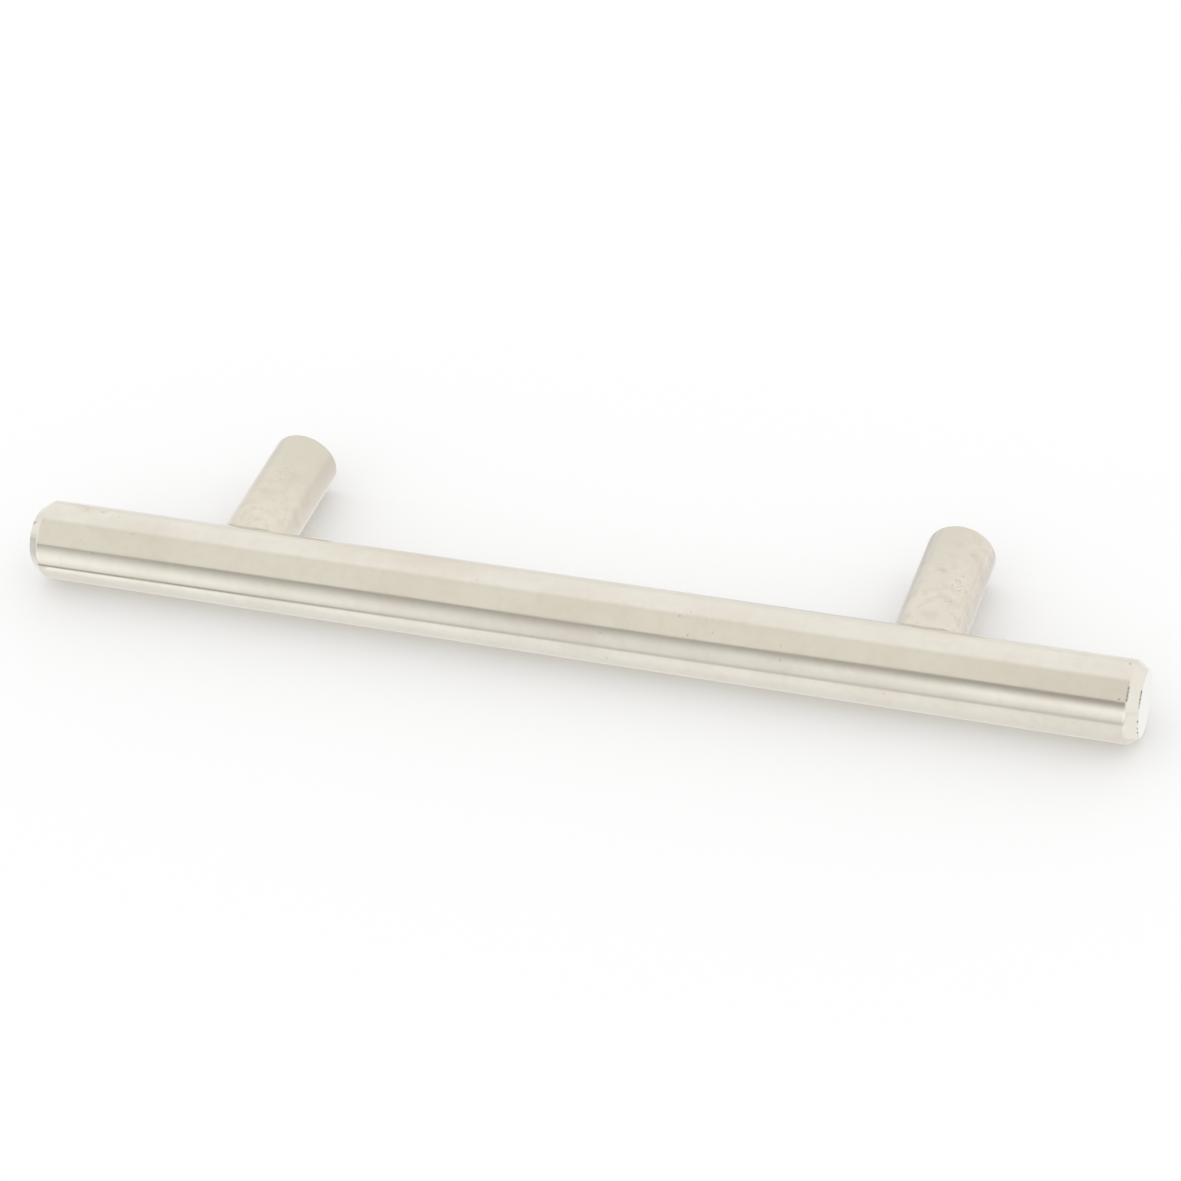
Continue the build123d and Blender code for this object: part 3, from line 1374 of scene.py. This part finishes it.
    def lay_pads(self) -> None:
        """Lays white pads on the floor past the ends of the bar, for the faces and chamfers.

        The left one is darker in the middle, which draws the outline of the chamfer there.
        """
        out, y = np.meshgrid(np.linspace(78.1, 170, 61), np.linspace(-75, 30, 71))
        inside = smooth((170 - out) / 60) * smooth((y + 75) / 25) * smooth((30 - y) / 20)
        for side in Side:
            level = 0.9 + 0.11 * inside
            if side is Side.LEFT:
                level = level - 0.1 * (1 - smooth((out - 81.5) / 4))
                middle = smooth((out - 80) / 12) * smooth((y + 62) / 22) * smooth((4 - y) / 24)
                level = level - 0.27 * middle
            x = np.copysign(out, side.value)
            self.card(f"{side.label}_pad", self.on_floor(x, y, 0.04), level)

    def lay_back(self) -> None:
        """Lays a light grey card on the floor behind the pull, for the far sides of the posts.

        Its level changes along it, in one way near the feet and in another further back, and
        blends into plain light grey at its edges. It is dimmer close under the bar.
        """
        y, x = np.meshgrid(np.linspace(-19, 320, 114), np.linspace(-420, 420, 43), indexing="ij")
        stations = (-60, -40, -20, 0, 22, 33, 41, 52, 58, 72)
        near = np.interp(x, stations, (0.92, 0.92, 0.9, 0.88, 0.78, 0.77, 0.76, 0.8, 0.88, 0.97))
        far = np.interp(x, stations, (0.9, 0.86, 0.92, 0.92, 0.8, 0.7, 0.73, 0.83, 0.92, 1.04))
        level = near + (far - near) * smooth((y - 2) / 20)
        middle = np.interp(x, (-60, -45, -25, 10), (0.92, 0.86, 0.87, 0.95))
        level = level + (middle - level) * smooth((y - 20) / 20)
        edge = np.maximum(smooth((y - 120) / 190), smooth((abs(x) - 200) / 210))
        level = level + (0.93 - level) * edge
        level = level * (0.8 + 0.2 * smooth((y + 19) / 10))
        self.card("back_floor", self.on_floor(x, y, 0.03), level)

    def light(self) -> None:
        """Lights the pull evenly from all round, in plain white."""
        world = bpy.data.worlds.new("plain_white_surroundings")
        world.use_nodes = True
        world.node_tree.nodes.clear()
        tree = world.node_tree
        glow = add_node(
            tree, "ShaderNodeBackground", {"Color": linear("#FFFFFF"), "Strength": 1.0}
        )
        add_node(tree, "ShaderNodeOutputWorld", {0: glow.outputs[0]})
        bpy.context.scene.world = world

    def place_camera(self) -> None:
        """Sets up the camera from the angles round its target.

        The back of the camera points from the target to it. Its right is level before the roll,
        and the roll turns its right and up about its back.
        """
        azimuth, elevation, roll = np.radians([self.azimuth, self.elevation, self.roll])
        level_back = np.array([np.sin(azimuth), -np.cos(azimuth), 0.0])
        back = level_back * np.cos(elevation) + np.array([0.0, 0.0, np.sin(elevation)])
        level = unit(np.cross([0.0, 0.0, 1.0], back))
        upright = np.cross(back, level)
        right = level * np.cos(roll) + upright * np.sin(roll)
        up = upright * np.cos(roll) - level * np.sin(roll)
        camera = bpy.data.cameras.new("photo_camera")
        camera.sensor_width = 36.0
        camera.lens = self.lens
        camera.clip_start, camera.clip_end = 0.01, 10.0
        made = put_in_scene("photo_camera", camera)
        spot = (np.array(self.target) + back * self.distance) * MM
        turned = Matrix([Vector(axis) for axis in (right, up, back)]).transposed().to_4x4()
        made.matrix_world = Matrix.Translation(Vector(spot)) @ turned
        bpy.context.scene.camera = made

    def build(self) -> None:
        """Sets up the whole studio."""
        bpy.context.scene.view_settings.view_transform = "Standard"
        self.lay_floor()
        self.hang_roof()
        self.hang_back()
        self.stand_front()
        self.lay_strip()
        self.lay_pads()
        self.lay_back()
        self.light()
        self.place_camera()


def report(made: bpy.types.Object) -> None:
    """Logs a piece's name and size."""
    mesh = made.data
    LOG.info("%s: %d points, %d faces", made.name, len(mesh.vertices), len(mesh.polygons))


def main() -> None:
    """Builds the pull and its studio."""
    logging.basicConfig(level=logging.INFO, format="%(message)s")
    Studio().build()
    report(Bar().build(bar_finish()))
    for side in Side:
        report(Post(side).build(post_finish(side)))
        report(JoiningStud(side).build(CutSteel()))


if __name__ == "__main__":
    main()
